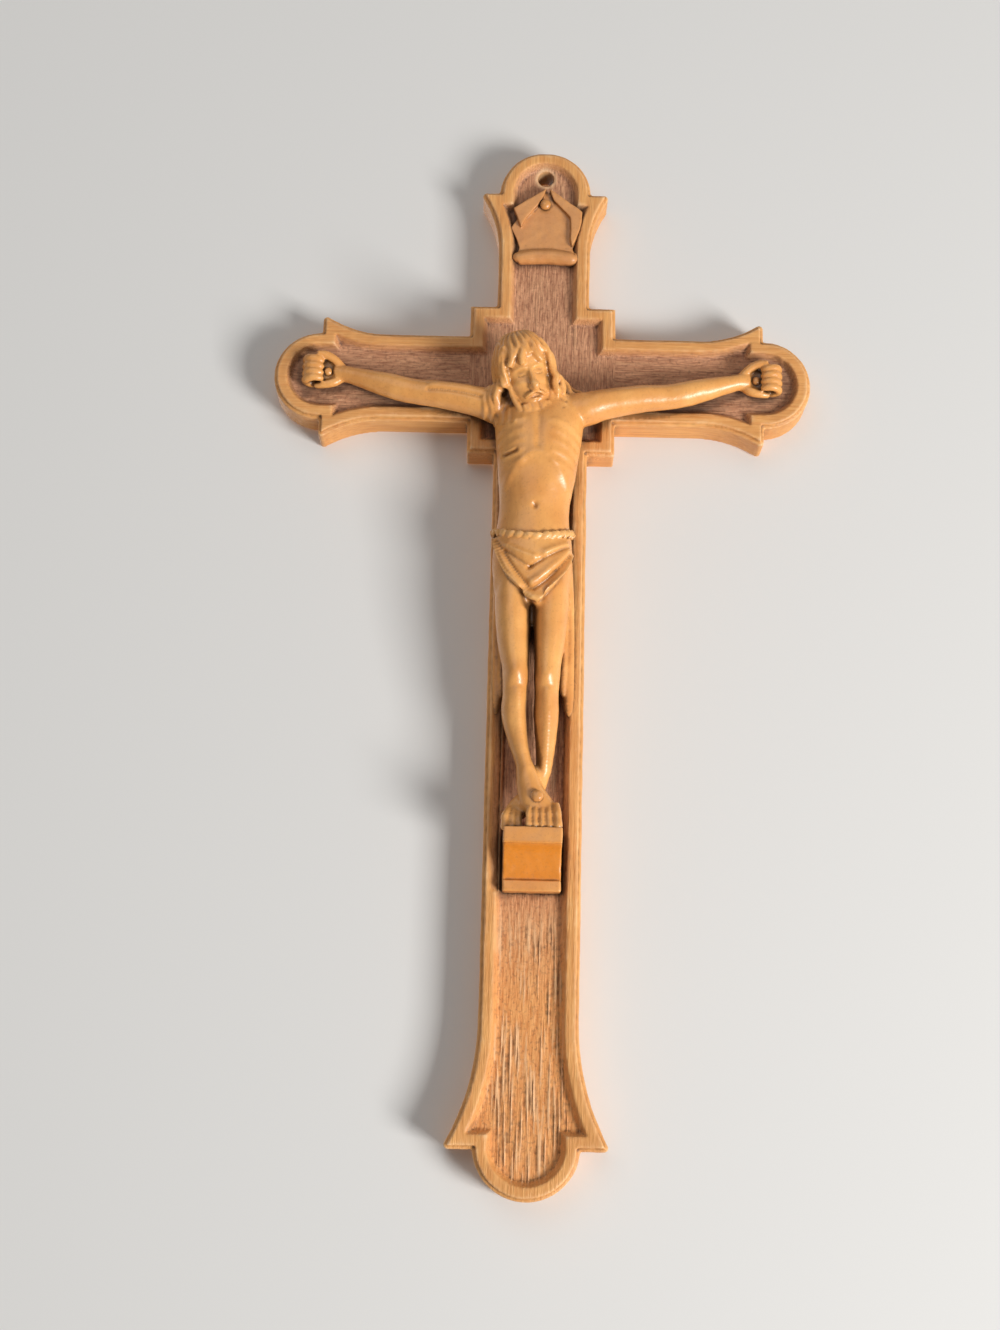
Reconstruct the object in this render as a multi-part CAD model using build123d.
"""Wall crucifix of carved and varnished wood.

The cross is two boards, an upright and a crossbar, let into each other by a half-lap at a stepped square.
A raised rim with a narrow outer ledge runs round a sunk field, and each limb ends in two ears and a round lobe.
The carved figure is a trunk with two arms pegged on at the shoulders, nailed at the hands and the crossed feet,
over a hollowed footrest and under a small parchment scroll.

The pieces are modelled lying on their back: X to the viewer's right, Y up the cross and Z out of its face, with
the origin on the back at the axis of the hanging hole. Each is stood up for export, +Z up and the face to -Y.
"""
from build123d import *

import os
from math import cos, pi, sin

# Cross boards
cross_height = 230.0
arm_span = 118.2
crossing_below_top = 55.5
limb_width = 20.4
board_thickness = 8.0
square_width = 32.2
square_height = 34.8
lap_depth = 4.0

# Upper end and both arm ends: ears tip to tip, the lobe between them and the flare that leads to them
end_ear_spread = 29.6
end_lobe_width = 20.4
end_lobe_rise = 10.3
end_flare_length = 14.5

# Lower end, longer and wider than the others
foot_ear_spread = 34.0
foot_lobe_width = 21.6
foot_lobe_rise = 10.0
foot_flare_length = 25.0
ear_tip_radius = 0.8
lobe_stilt = 0.4

# Rim, from the edge inwards: ledge, flat top, sloping inner wall, field
ledge_width = 0.7
ledge_drop = 0.9
rim_width = 2.1
wall_run = 1.2
field_depth = 1.8

# Hanging hole
hole_diameter = 3.6
hole_below_top = 6.0

# Parchment scroll and its pin
scroll_gap = 2.2
scroll_height = 18.0
scroll_eave = 1.3
scroll_clearance = 0.2
scroll_waist = 0.4
scroll_gable = 5.6
scroll_spur = 1.8
scroll_thickness = 1.4
scroll_roll_diameter = 2.2
scroll_foot_roll_diameter = 2.6
scroll_roll_lift = 0.8
scroll_roll_overhang = 0.6
pin_below_apex = 3.5

# Footrest
footrest_clearance = 0.2
footrest_reach = 10.9
footrest_height = 12.2
footrest_band = 3.4
footrest_lip = 2.3
footrest_lip_reach = 3.6
footrest_groove = 0.6

# Figure
figure_height = 108.0
crown_above_crossing = 7.0
chest_width = 18.0
chest_depth = 13.2
head_height = 18.6
head_tilt_angle = 14.0
head_bow_angle = 20.0
cloth_thickness = 0.5
arm_width = 6.6
shoulder_drop = 9.0
hand_inset = 11.2
hand_width = 7.2
finger_roll = 3.4
finger_out = 2.4
finger_reach = 2.6
finger_parting = 0.3
thumb_diameter = 1.7

# Nails, dowels and their fits
nail_head_diameter = 2.0
nail_head_height = 0.7
nail_shank_diameter = 1.0
nail_hold = 3.5
hand_nail_inset = 0.9
hand_nail_reach = 3.0
feet_nail_head_diameter = 2.5
feet_nail_head_height = 0.9
feet_nail_reach = 8.6
pin_head_diameter = 2.4
pin_head_height = 1.1
dowel_diameter = 2.4
dowel_bite = 3.6
dowel_clearance = 0.05
nail_clearance = 0.02
overrun = 1.0

# Shape of the figure. Levels are shares of its height below the crown; side places and half widths are shares of
# the chest's width; reaches from the field and half depths are shares of the chest's depth.
oval_facets = 12
torso_shares = [
    (0.102, -0.04, 0.19, 0.44, 0.23),
    (0.120, -0.03, 0.36, 0.45, 0.30),
    (0.144, -0.02, 0.50, 0.45, 0.38),
    (0.176, -0.02, 0.53, 0.46, 0.46),
    (0.231, -0.03, 0.50, 0.48, 0.52),
    (0.296, -0.04, 0.46, 0.46, 0.50),
    (0.361, -0.06, 0.42, 0.41, 0.44),
    (0.421, -0.07, 0.45, 0.42, 0.45),
    (0.472, -0.07, 0.47, 0.42, 0.46),
    (0.528, -0.07, 0.45, 0.40, 0.42),
]
right_leg_shares = [
    (0.480, -0.28, 0.21, 0.41, 0.36),
    (0.520, -0.29, 0.21, 0.41, 0.36),
    (0.565, -0.29, 0.21, 0.42, 0.36),
    (0.598, -0.28, 0.20, 0.43, 0.345),
    (0.630, -0.27, 0.19, 0.44, 0.33),
    (0.694, -0.23, 0.16, 0.48, 0.28),
    (0.722, -0.23, 0.15, 0.45, 0.26),
    (0.778, -0.24, 0.15, 0.39, 0.26),
    (0.833, -0.18, 0.12, 0.39, 0.20),
    (0.889, -0.08, 0.10, 0.44, 0.16),
]
right_foot_shares = [
    (0.880, -0.09, 0.10, 0.43, 0.15),
    (0.910, -0.03, 0.12, 0.47, 0.17),
    (0.944, 0.06, 0.16, 0.52, 0.17),
    (0.977, 0.13, 0.19, 0.60, 0.14),
    (1.000, 0.16, 0.19, 0.64, 0.10),
]
left_leg_shares = [
    (0.480, 0.15, 0.21, 0.40, 0.36),
    (0.520, 0.16, 0.21, 0.41, 0.36),
    (0.565, 0.16, 0.21, 0.42, 0.36),
    (0.598, 0.155, 0.195, 0.425, 0.34),
    (0.630, 0.15, 0.18, 0.43, 0.32),
    (0.694, 0.12, 0.16, 0.45, 0.27),
    (0.722, 0.12, 0.15, 0.43, 0.25),
    (0.778, 0.12, 0.15, 0.36, 0.25),
    (0.833, 0.12, 0.12, 0.32, 0.20),
    (0.889, 0.11, 0.09, 0.27, 0.15),
]
left_foot_shares = [
    (0.880, 0.12, 0.09, 0.27, 0.14),
    (0.910, 0.03, 0.11, 0.27, 0.16),
    (0.944, -0.09, 0.14, 0.30, 0.16),
    (0.977, -0.20, 0.16, 0.39, 0.14),
    (1.000, -0.22, 0.14, 0.49, 0.11),
]

# Loincloth: each lap's level at the hip and its point, the wrap that it follows, the belt and the tails
hip_share = 0.62
belt_level_share = 0.415
cloth_sag_share = 0.62
cloth_lap_shares = [(0.455, 0.560, -0.01), (0.440, 0.515, 0.05)]
cloth_wrap_shares = [
    (0.405, -0.07, 0.45, 0.42, 0.45),
    (0.472, -0.07, 0.47, 0.42, 0.46),
    (0.528, -0.07, 0.47, 0.41, 0.44),
    (0.575, -0.06, 0.46, 0.41, 0.43),
]
belt_shares = [
    (0.404, -0.07, 0.44, 0.41, 0.44),
    (0.408, -0.07, 0.47, 0.42, 0.48),
    (0.416, -0.07, 0.47, 0.42, 0.48),
    (0.420, -0.07, 0.44, 0.41, 0.44),
]
right_tail_shares = [
    (0.470, -0.42, 0.07, 0.28, 0.12),
    (0.565, -0.44, 0.06, 0.26, 0.11),
    (0.660, -0.43, 0.06, 0.25, 0.10),
    (0.762, -0.42, 0.05, 0.24, 0.09),
]
left_tail_shares = [
    (0.470, 0.33, 0.07, 0.28, 0.12),
    (0.565, 0.36, 0.06, 0.26, 0.11),
    (0.660, 0.37, 0.06, 0.25, 0.10),
    (0.762, 0.37, 0.05, 0.24, 0.09),
]

# Arms, as shares of the hand's reach from the middle, the shoulder's drop, the arm's width and the chest's depth
arm_shares = [
    (0.135, 1.00, 0.52, 0.46, 0.52),
    (0.210, 0.97, 0.57, 0.47, 0.57),
    (0.310, 0.80, 0.50, 0.46, 0.50),
    (0.460, 0.64, 0.455, 0.42, 0.455),
    (0.575, 0.55, 0.43, 0.38, 0.42),
    (0.690, 0.39, 0.44, 0.33, 0.40),
    (0.815, 0.17, 0.35, 0.27, 0.32),
    (0.905, 0.03, 0.29, 0.22, 0.26),
    (0.950, -0.01, 0.42, 0.16, 0.27),
    (1.000, -0.01, 0.52, 0.13, 0.27),
    (1.050, -0.01, 0.50, 0.12, 0.24),
]
thumb_shares = [(-0.36, 0.33, 0.33), (0.30, 0.56, 0.46)]

# Places of the pegs and of the nail through the feet
shoulder_seat_share = 0.50
shoulder_reach_share = 0.465
trunk_dowel_side_share = -0.04
trunk_dowel_level_shares = (0.27, 0.45)
footrest_dowel_share = 0.4
feet_nail_side_share = 0.04
feet_nail_level_share = 0.939
nail_top_share = 0.55
nail_facets = 8

# The head's forms, as shares of its height from its centre
head_side_share = -0.21
head_level_share = 0.089
head_reach_share = 0.72
skull_shares = [
    (0.47, 0.00, 0.11, -0.04, 0.12),
    (0.42, 0.00, 0.20, -0.04, 0.22),
    (0.30, 0.00, 0.27, -0.03, 0.29),
    (0.15, 0.00, 0.28, -0.01, 0.32),
    (0.00, 0.00, 0.26, 0.00, 0.32),
    (-0.12, 0.00, 0.24, 0.03, 0.29),
    (-0.25, 0.00, 0.21, 0.07, 0.25),
    (-0.36, 0.00, 0.165, 0.11, 0.19),
    (-0.45, 0.00, 0.11, 0.14, 0.12),
    (-0.50, 0.00, 0.05, 0.15, 0.05),
]
hair_cap_shares = [
    (0.50, 0.00, 0.12, -0.05, 0.13),
    (0.44, 0.00, 0.24, -0.05, 0.26),
    (0.32, 0.00, 0.31, -0.04, 0.33),
    (0.22, 0.00, 0.33, -0.04, 0.35),
    (0.17, 0.00, 0.31, -0.05, 0.33),
]
hair_lock_shares = [
    (0.28, 0.24, 0.08, 0.00, 0.20),
    (0.10, 0.28, 0.09, -0.02, 0.22),
    (-0.12, 0.30, 0.09, -0.02, 0.21),
    (-0.30, 0.28, 0.08, 0.00, 0.17),
    (-0.42, 0.24, 0.05, 0.02, 0.10),
]
nose_shares = [
    (0.05, 0.00, 0.02, 0.30, 0.03),
    (-0.07, 0.00, 0.035, 0.32, 0.055),
    (-0.10, 0.00, 0.04, 0.31, 0.06),
    (-0.12, 0.00, 0.03, 0.29, 0.04),
]
hollow_out_share = 0.25
hollow_up_share = 0.75

# Places that follow from the sizes above
top_y = hole_below_top
crossing_y = top_y - crossing_below_top
bottom_y = top_y - cross_height
field_z = board_thickness - field_depth
field_width = limb_width - 2 * (ledge_width + rim_width + wall_run)
footrest_width = field_width - 2 * footrest_clearance
crown_y = crossing_y + crown_above_crossing
sole_y = crown_y - figure_height
hand_reach = arm_span / 2 - hand_inset


def limb_end(ear_spread, lobe_width, lobe_rise, flare_length):
    """Outline of a limb's end with its apex at the origin, pointing up Y."""
    ear_line = -lobe_rise
    flare_line = ear_line - flare_length
    half_limb = limb_width / 2
    half_ear = ear_spread / 2
    half_lobe = lobe_width / 2
    spring_line = ear_line + lobe_stilt
    outline = [
        TangentArc((half_limb, flare_line), (half_ear, ear_line), tangent=(0, 1)),
        Line((half_ear, ear_line), (half_lobe, ear_line)),
        Line((half_lobe, ear_line), (half_lobe, spring_line)),
        ThreePointArc((half_lobe, spring_line), (0, 0), (-half_lobe, spring_line)),
        Line((-half_lobe, spring_line), (-half_lobe, ear_line)),
        Line((-half_lobe, ear_line), (-half_ear, ear_line)),
        TangentArc((-half_limb, flare_line), (-half_ear, ear_line), tangent=(0, 1)),
        Line((-half_limb, flare_line), (half_limb, flare_line)),
    ]
    end = make_face(outline)
    tips = end.vertices().sort_by(Axis.X)
    return fillet([tips[0], tips[-1]], ear_tip_radius)


def cross_outline():
    """Outline of the whole cross: two limbs, the stepped square and four flared ends."""
    upper_end = limb_end(end_ear_spread, end_lobe_width, end_lobe_rise, end_flare_length)
    lower_end = limb_end(foot_ear_spread, foot_lobe_width, foot_lobe_rise, foot_flare_length)
    upper_length = end_lobe_rise + end_flare_length
    lower_length = foot_lobe_rise + foot_flare_length
    shaft_length = cross_height - upper_length - lower_length
    shaft_middle = top_y - upper_length - shaft_length / 2
    bar_length = arm_span - 2 * upper_length
    outline = Pos(0, shaft_middle) * Rectangle(limb_width, shaft_length)
    outline += Pos(0, crossing_y) * Rectangle(bar_length, limb_width)
    outline += Pos(0, crossing_y) * Rectangle(square_width, square_height)
    outline += Pos(0, top_y) * upper_end
    outline += Pos(arm_span / 2, crossing_y) * Rot(Z=-90) * upper_end
    outline += Pos(-arm_span / 2, crossing_y) * Rot(Z=90) * upper_end
    outline += Pos(0, bottom_y) * Rot(Z=180) * lower_end
    return outline


def carved_cross():
    """Both boards as one blank: ledge, rim, sloping inner wall, sunk field and hanging hole."""
    outline = cross_outline()
    ledge_z = board_thickness - ledge_drop
    rim_outline = offset(outline, amount=-ledge_width, kind=Kind.INTERSECTION)
    wall_top = offset(outline, amount=-(ledge_width + rim_width), kind=Kind.INTERSECTION)
    wall_foot = offset(outline, amount=-(ledge_width + rim_width + wall_run), kind=Kind.INTERSECTION)
    blank = extrude(outline, amount=ledge_z)
    blank += extrude(Pos(0, 0, ledge_z) * rim_outline, amount=ledge_drop)
    recess = loft([Pos(0, 0, field_z) * wall_foot, Pos(0, 0, board_thickness) * wall_top], ruled=True)
    hole = extrude(Circle(hole_diameter / 2), amount=board_thickness)
    return blank - recess - hole


def boards(blank):
    """Upright and crossbar, cut from the carved blank along the half-lap: the crossbar passes behind."""
    lap_reach = arm_span / 2 + overrun
    arm_length = lap_reach - square_width / 2
    arm_height = max(end_ear_spread, square_height) + overrun
    low = Align.MIN
    mid = Align.CENTER
    lap = Box(square_width, square_height, lap_depth, align=(mid, mid, low))
    arm = Box(arm_length, arm_height, board_thickness, align=(low, mid, low))
    bar_room = Pos(0, crossing_y, 0) * lap
    bar_room += Pos(square_width / 2, crossing_y, 0) * arm
    bar_room += Pos(-lap_reach, crossing_y, 0) * arm
    return blank - bar_room, blank & bar_room


def rod(start, end, diameter):
    """Straight round rod between two points."""
    run = Vector(*end) - Vector(*start)
    return extrude(Plane(origin=start, z_dir=run) * Circle(diameter / 2), amount=run.length)


def nail(head_diameter, head_height, length):
    """Forged nail standing on Z, with the underside of its bevelled head at the origin and its shank below."""
    half_head = head_diameter / 2
    underside = RegularPolygon(half_head, nail_facets)
    top = Pos(0, 0, head_height) * RegularPolygon(half_head * nail_top_share, nail_facets)
    shank = RegularPolygon(nail_shank_diameter / 2, nail_facets)
    return loft([underside, top], ruled=True) + extrude(shank, amount=-length)


def nail_room(head_diameter, length):
    """What a nail needs in the pieces that it holds: a flat for its head and a hole for its shank."""
    flat = RegularPolygon(head_diameter / 2 + nail_clearance, nail_facets)
    shank = RegularPolygon(nail_shank_diameter / 2 + nail_clearance, nail_facets)
    return extrude(flat, amount=chest_depth) + extrude(shank, amount=-length)


def scroll():
    """Parchment scroll: a waisted sheet under a gable of two rolled edges, with a rolled foot."""
    apex_y = -hole_diameter / 2 - scroll_gap
    eave_y = apex_y - scroll_gable
    spur_y = eave_y - scroll_spur
    foot_y = apex_y - scroll_height
    half_eave = field_width / 2 + scroll_eave
    half_foot = field_width / 2 - scroll_clearance
    half_waist = half_foot - scroll_waist
    gable_roll = scroll_roll_diameter / 2
    foot_roll = scroll_foot_roll_diameter / 2
    right_side = [
        Line((0, apex_y), (half_eave, eave_y)),
        Line((half_eave, eave_y), (half_foot, spur_y)),
        ThreePointArc((half_foot, spur_y), (half_waist, (spur_y + foot_y) / 2), (half_foot, foot_y)),
    ]
    left_side = [mirror(edge, about=Plane.YZ) for edge in right_side]
    foot_edge = Line((-half_foot, foot_y), (half_foot, foot_y))
    outline = make_face(right_side + left_side + [foot_edge])
    sheet = extrude(Pos(0, 0, field_z) * outline, amount=scroll_thickness)
    roll_z = field_z + scroll_thickness
    apex = (0, apex_y - gable_roll, roll_z)
    rolls = []
    for side in (-1, 1):
        eave = (side * (half_eave - gable_roll), eave_y - gable_roll, roll_z)
        rolls.append(rod(apex, eave, scroll_roll_diameter))
    foot_roll_z = field_z + foot_roll + scroll_roll_lift
    half_roll = half_foot + scroll_roll_overhang
    foot_ends = [(side * half_roll, foot_y + foot_roll, foot_roll_z) for side in (-1, 1)]
    return sheet + rolls + rod(*foot_ends, scroll_foot_roll_diameter)


def footrest():
    """Bracket under the feet: a flat top and front band over a hollowed underside, a groove and a lip."""
    top_z = field_z + footrest_reach
    band_y = sole_y - footrest_band
    foot_y = sole_y - footrest_height
    lip_y = foot_y + footrest_lip
    lip_z = field_z + footrest_lip_reach
    groove_z = lip_z - footrest_groove
    hollow = (groove_z + (top_z - groove_z) * hollow_out_share, lip_y + (band_y - lip_y) * hollow_up_share)
    profile = [
        Line((field_z, sole_y), (top_z, sole_y)),
        Line((top_z, sole_y), (top_z, band_y)),
        ThreePointArc((top_z, band_y), hollow, (groove_z, lip_y)),
        Line((groove_z, lip_y), (lip_z, lip_y)),
        Line((lip_z, lip_y), (lip_z, foot_y)),
        Line((lip_z, foot_y), (field_z, foot_y)),
        Line((field_z, foot_y), (field_z, sole_y)),
    ]
    right_side = Plane(origin=(footrest_width / 2, 0, 0), x_dir=(0, 0, 1), z_dir=(-1, 0, 0))
    return extrude(right_side * make_face(profile), amount=footrest_width)


def oval(plane, half_width, half_depth):
    """Oval of flat facets on a plane, as a knife leaves it, begun at the same side so that lofts do not twist."""
    turns = [2 * pi * (step + 0.5) / oval_facets for step in range(oval_facets)]
    points = [(half_width * cos(turn), half_depth * sin(turn)) for turn in turns]
    return plane * make_face(Polyline(*points, close=True))


def whittled_rod(start, end, diameter):
    """Straight rod between two points with the flat facets of a knife."""
    run = Vector(*end) - Vector(*start)
    section = oval(Plane(origin=start, z_dir=run), diameter / 2, diameter / 2)
    return extrude(section, amount=run.length)


def level_y(level_share):
    """Height of a level of the figure, as a share of its height below the crown."""
    return crown_y - figure_height * level_share


def trunk_form(shares, growth=0):
    """Loft of ovals across the figure; each row is level, side, half width, reach and half depth."""
    sections = []
    for level_share, side_share, width_share, reach_share, depth_share in shares:
        centre = (chest_width * side_share, level_y(level_share), field_z + chest_depth * reach_share)
        plane = Plane(origin=centre, x_dir=(1, 0, 0), z_dir=(0, 1, 0))
        sections.append(oval(plane, chest_width * width_share + growth, chest_depth * depth_share + growth))
    return loft(sections, ruled=True)


def head_form(shares, side=1):
    """Loft of ovals across the head; each row is height, side, half width, front and half depth."""
    sections = []
    for up_share, side_share, width_share, front_share, depth_share in shares:
        centre = (side * head_height * side_share, head_height * up_share, head_height * front_share)
        plane = Plane(origin=centre, x_dir=(1, 0, 0), z_dir=(0, 1, 0))
        sections.append(oval(plane, head_height * width_share, head_height * depth_share))
    return loft(sections, ruled=True)


def head():
    """Head bowed forwards and tilted to the figure's right shoulder: plain face, beard and long hair."""
    locks = [head_form(hair_lock_shares, side) for side in (-1, 1)]
    forms = head_form(skull_shares) + head_form(hair_cap_shares) + locks + head_form(nose_shares)
    centre = (chest_width * head_side_share, level_y(head_level_share), field_z + chest_depth * head_reach_share)
    return Pos(*centre) * Rot(Z=head_tilt_angle) * Rot(X=head_bow_angle) * forms


def loincloth():
    """Cloth wrapped round the hips in two laps that hang to a point, with hanging tails and a rope belt."""
    half_hip = chest_width * hip_share
    laps = []
    for number, (hip_level_share, tip_level_share, tip_side_share) in enumerate(cloth_lap_shares, start=1):
        belt_y = level_y(belt_level_share)
        hip_y = level_y(hip_level_share)
        tip = (chest_width * tip_side_share, level_y(tip_level_share))
        sag_y = hip_y + (tip[1] - hip_y) * cloth_sag_share
        outline = [
            Line((-half_hip, hip_y), (-half_hip, belt_y)),
            Line((-half_hip, belt_y), (half_hip, belt_y)),
            Line((half_hip, belt_y), (half_hip, hip_y)),
            ThreePointArc((half_hip, hip_y), ((half_hip + tip[0]) / 2, sag_y), tip),
            ThreePointArc(tip, ((tip[0] - half_hip) / 2, sag_y), (-half_hip, hip_y)),
        ]
        room = extrude(Pos(0, 0, field_z) * make_face(outline), amount=2 * chest_depth)
        laps.append(trunk_form(cloth_wrap_shares, growth=number * cloth_thickness) & room)
    belt = trunk_form(belt_shares, growth=cloth_thickness)
    tails = [trunk_form(right_tail_shares), trunk_form(left_tail_shares)]
    return laps + [belt] + tails


def trunk_dowel_rooms():
    """Places of the two pegs behind the trunk."""
    x = chest_width * trunk_dowel_side_share
    return [(x, level_y(share), field_z) for share in trunk_dowel_level_shares]


def footrest_dowel_rooms():
    """Places of the two pegs behind the footrest."""
    y = sole_y - footrest_height * footrest_dowel_share
    return [(side * footrest_width / 4, y, field_z) for side in (-1, 1)]


def shoulder_seat(side):
    """Place of the peg between the trunk and one arm."""
    x = side * chest_width * shoulder_seat_share
    return (x, crossing_y - shoulder_drop, field_z + chest_depth * shoulder_reach_share)


def dowel(place, way, clearance=0):
    """Whittled peg centred on a seam, or its hole when a clearance is given."""
    reach = Vector(*way) * (dowel_bite + clearance)
    middle = Vector(*place)
    return whittled_rod(tuple(middle - reach), tuple(middle + reach), dowel_diameter + 2 * clearance)


def feet_nail_seat():
    """Place of the nail's head on the instep of the front foot."""
    return (chest_width * feet_nail_side_share, level_y(feet_nail_level_share), field_z + feet_nail_reach)


def hand_nail_seat(side):
    """Place of the nail's head in a palm."""
    return (side * (hand_reach - hand_nail_inset), crossing_y, field_z + hand_nail_reach)


def trunk(blank):
    """Head, body, loincloth, legs and crossed feet, cut to lie on the cross and to stand on the footrest."""
    legs = [trunk_form(shares) for shares in (right_leg_shares, left_leg_shares)]
    feet = [trunk_form(shares) for shares in (right_foot_shares, left_foot_shares)]
    body = trunk_form(torso_shares)
    for form in legs + feet + loincloth() + [head()]:
        body += form
    below = Box(arm_span, chest_depth, 2 * chest_depth, align=(Align.CENTER, Align.MAX, Align.MIN))
    body -= blank
    body -= Pos(0, sole_y, field_z) * below
    for place in trunk_dowel_rooms():
        body -= dowel(place, (0, 0, 1), dowel_clearance)
    for side in (-1, 1):
        body -= dowel(shoulder_seat(side), (1, 0, 0), dowel_clearance)
    return body - Pos(*feet_nail_seat()) * nail_room(feet_nail_head_diameter, feet_nail_reach)


def fist():
    """Curled fingers of the left hand, parted by three cuts, with the thumb laid above them."""
    finger_x = hand_reach + finger_out
    finger_z = field_z + finger_reach
    half_fist = hand_width / 2
    ends = [(finger_x, crossing_y + end, finger_z) for end in (-half_fist, half_fist)]
    fingers = whittled_rod(*ends, finger_roll)
    parting = Box(finger_roll, finger_parting, finger_roll, align=(Align.MIN, Align.CENTER, Align.CENTER))
    for number in (-1, 0, 1):
        fingers -= Pos(finger_x, crossing_y + number * hand_width / 4, finger_z) * parting
    thumb_ends = [
        (hand_reach + hand_width * out_share, crossing_y + hand_width * up_share, field_z + hand_width * reach_share)
        for out_share, up_share, reach_share in thumb_shares
    ]
    return fingers + whittled_rod(*thumb_ends, thumb_diameter)


def arm(blank):
    """The figure's left arm with the back of its hand cut flat to lie on the crossbar's field."""
    sections = []
    for out_share, drop_share, height_share, reach_share, depth_share in arm_shares:
        y = crossing_y - shoulder_drop * drop_share
        centre = (hand_reach * out_share, y, field_z + chest_depth * reach_share)
        plane = Plane(origin=centre, x_dir=(0, 1, 0), z_dir=(1, 0, 0))
        sections.append(oval(plane, arm_width * height_share, arm_width * depth_share))
    limb = loft(sections, ruled=True) + fist() - blank
    return limb - Pos(*hand_nail_seat(1)) * nail_room(nail_head_diameter, hand_nail_reach)


def stand(piece):
    """The piece turned from its back onto its foot: +Z up and the face to -Y."""
    return Rot(X=90) * piece


blank = carved_cross()
upright, crossbar = boards(blank)
scroll_pin_seat = (0, -hole_diameter / 2 - scroll_gap - pin_below_apex, field_z + scroll_thickness)
pin_room = Pos(*scroll_pin_seat) * nail_room(pin_head_diameter, scroll_thickness + nail_hold)
upright -= pin_room
upright -= Pos(*feet_nail_seat()) * nail_room(feet_nail_head_diameter, feet_nail_reach + nail_hold)
for place in trunk_dowel_rooms() + footrest_dowel_rooms():
    upright -= dowel(place, (0, 0, 1), dowel_clearance)
    crossbar -= dowel(place, (0, 0, 1), dowel_clearance)
bracket = footrest()
for place in footrest_dowel_rooms():
    bracket -= dowel(place, (0, 0, 1), dowel_clearance)

body = trunk(blank)
left_limb = arm(blank)
right_limb = mirror(left_limb, about=Plane.YZ)
limbs = {-1: right_limb, 1: left_limb}
for side in limbs:
    fitted = (limbs[side] - body).solids().sort_by(SortBy.VOLUME)[-1]
    limbs[side] = fitted - dowel(shoulder_seat(side), (1, 0, 0), dowel_clearance)
    crossbar -= Pos(*hand_nail_seat(side)) * nail_room(nail_head_diameter, hand_nail_reach + nail_hold)

hand_nail = nail(nail_head_diameter, nail_head_height, hand_nail_reach + nail_hold)
feet_nail = nail(feet_nail_head_diameter, feet_nail_head_height, feet_nail_reach + nail_hold)
pin = nail(pin_head_diameter, pin_head_height, scroll_thickness + nail_hold)
pieces = {
    "cross_upright": upright,
    "crossbar": crossbar,
    "titulus_scroll": scroll() - pin_room,
    "titulus_pin": Pos(*scroll_pin_seat) * pin,
    "corpus_trunk": body,
    "corpus_right_arm": limbs[-1],
    "corpus_left_arm": limbs[1],
    "right_shoulder_dowel": dowel(shoulder_seat(-1), (1, 0, 0)),
    "left_shoulder_dowel": dowel(shoulder_seat(1), (1, 0, 0)),
    "trunk_dowels": Compound([dowel(place, (0, 0, 1)) for place in trunk_dowel_rooms()]),
    "right_hand_nail": Pos(*hand_nail_seat(-1)) * hand_nail,
    "left_hand_nail": Pos(*hand_nail_seat(1)) * hand_nail,
    "feet_nail": Pos(*feet_nail_seat()) * feet_nail,
    "footrest": bracket,
    "footrest_dowels": Compound([dowel(place, (0, 0, 1)) for place in footrest_dowel_rooms()]),
}
os.makedirs("parts", exist_ok=True)
for name, piece in pieces.items():
    export_step(stand(piece), f"parts/{name}.step")
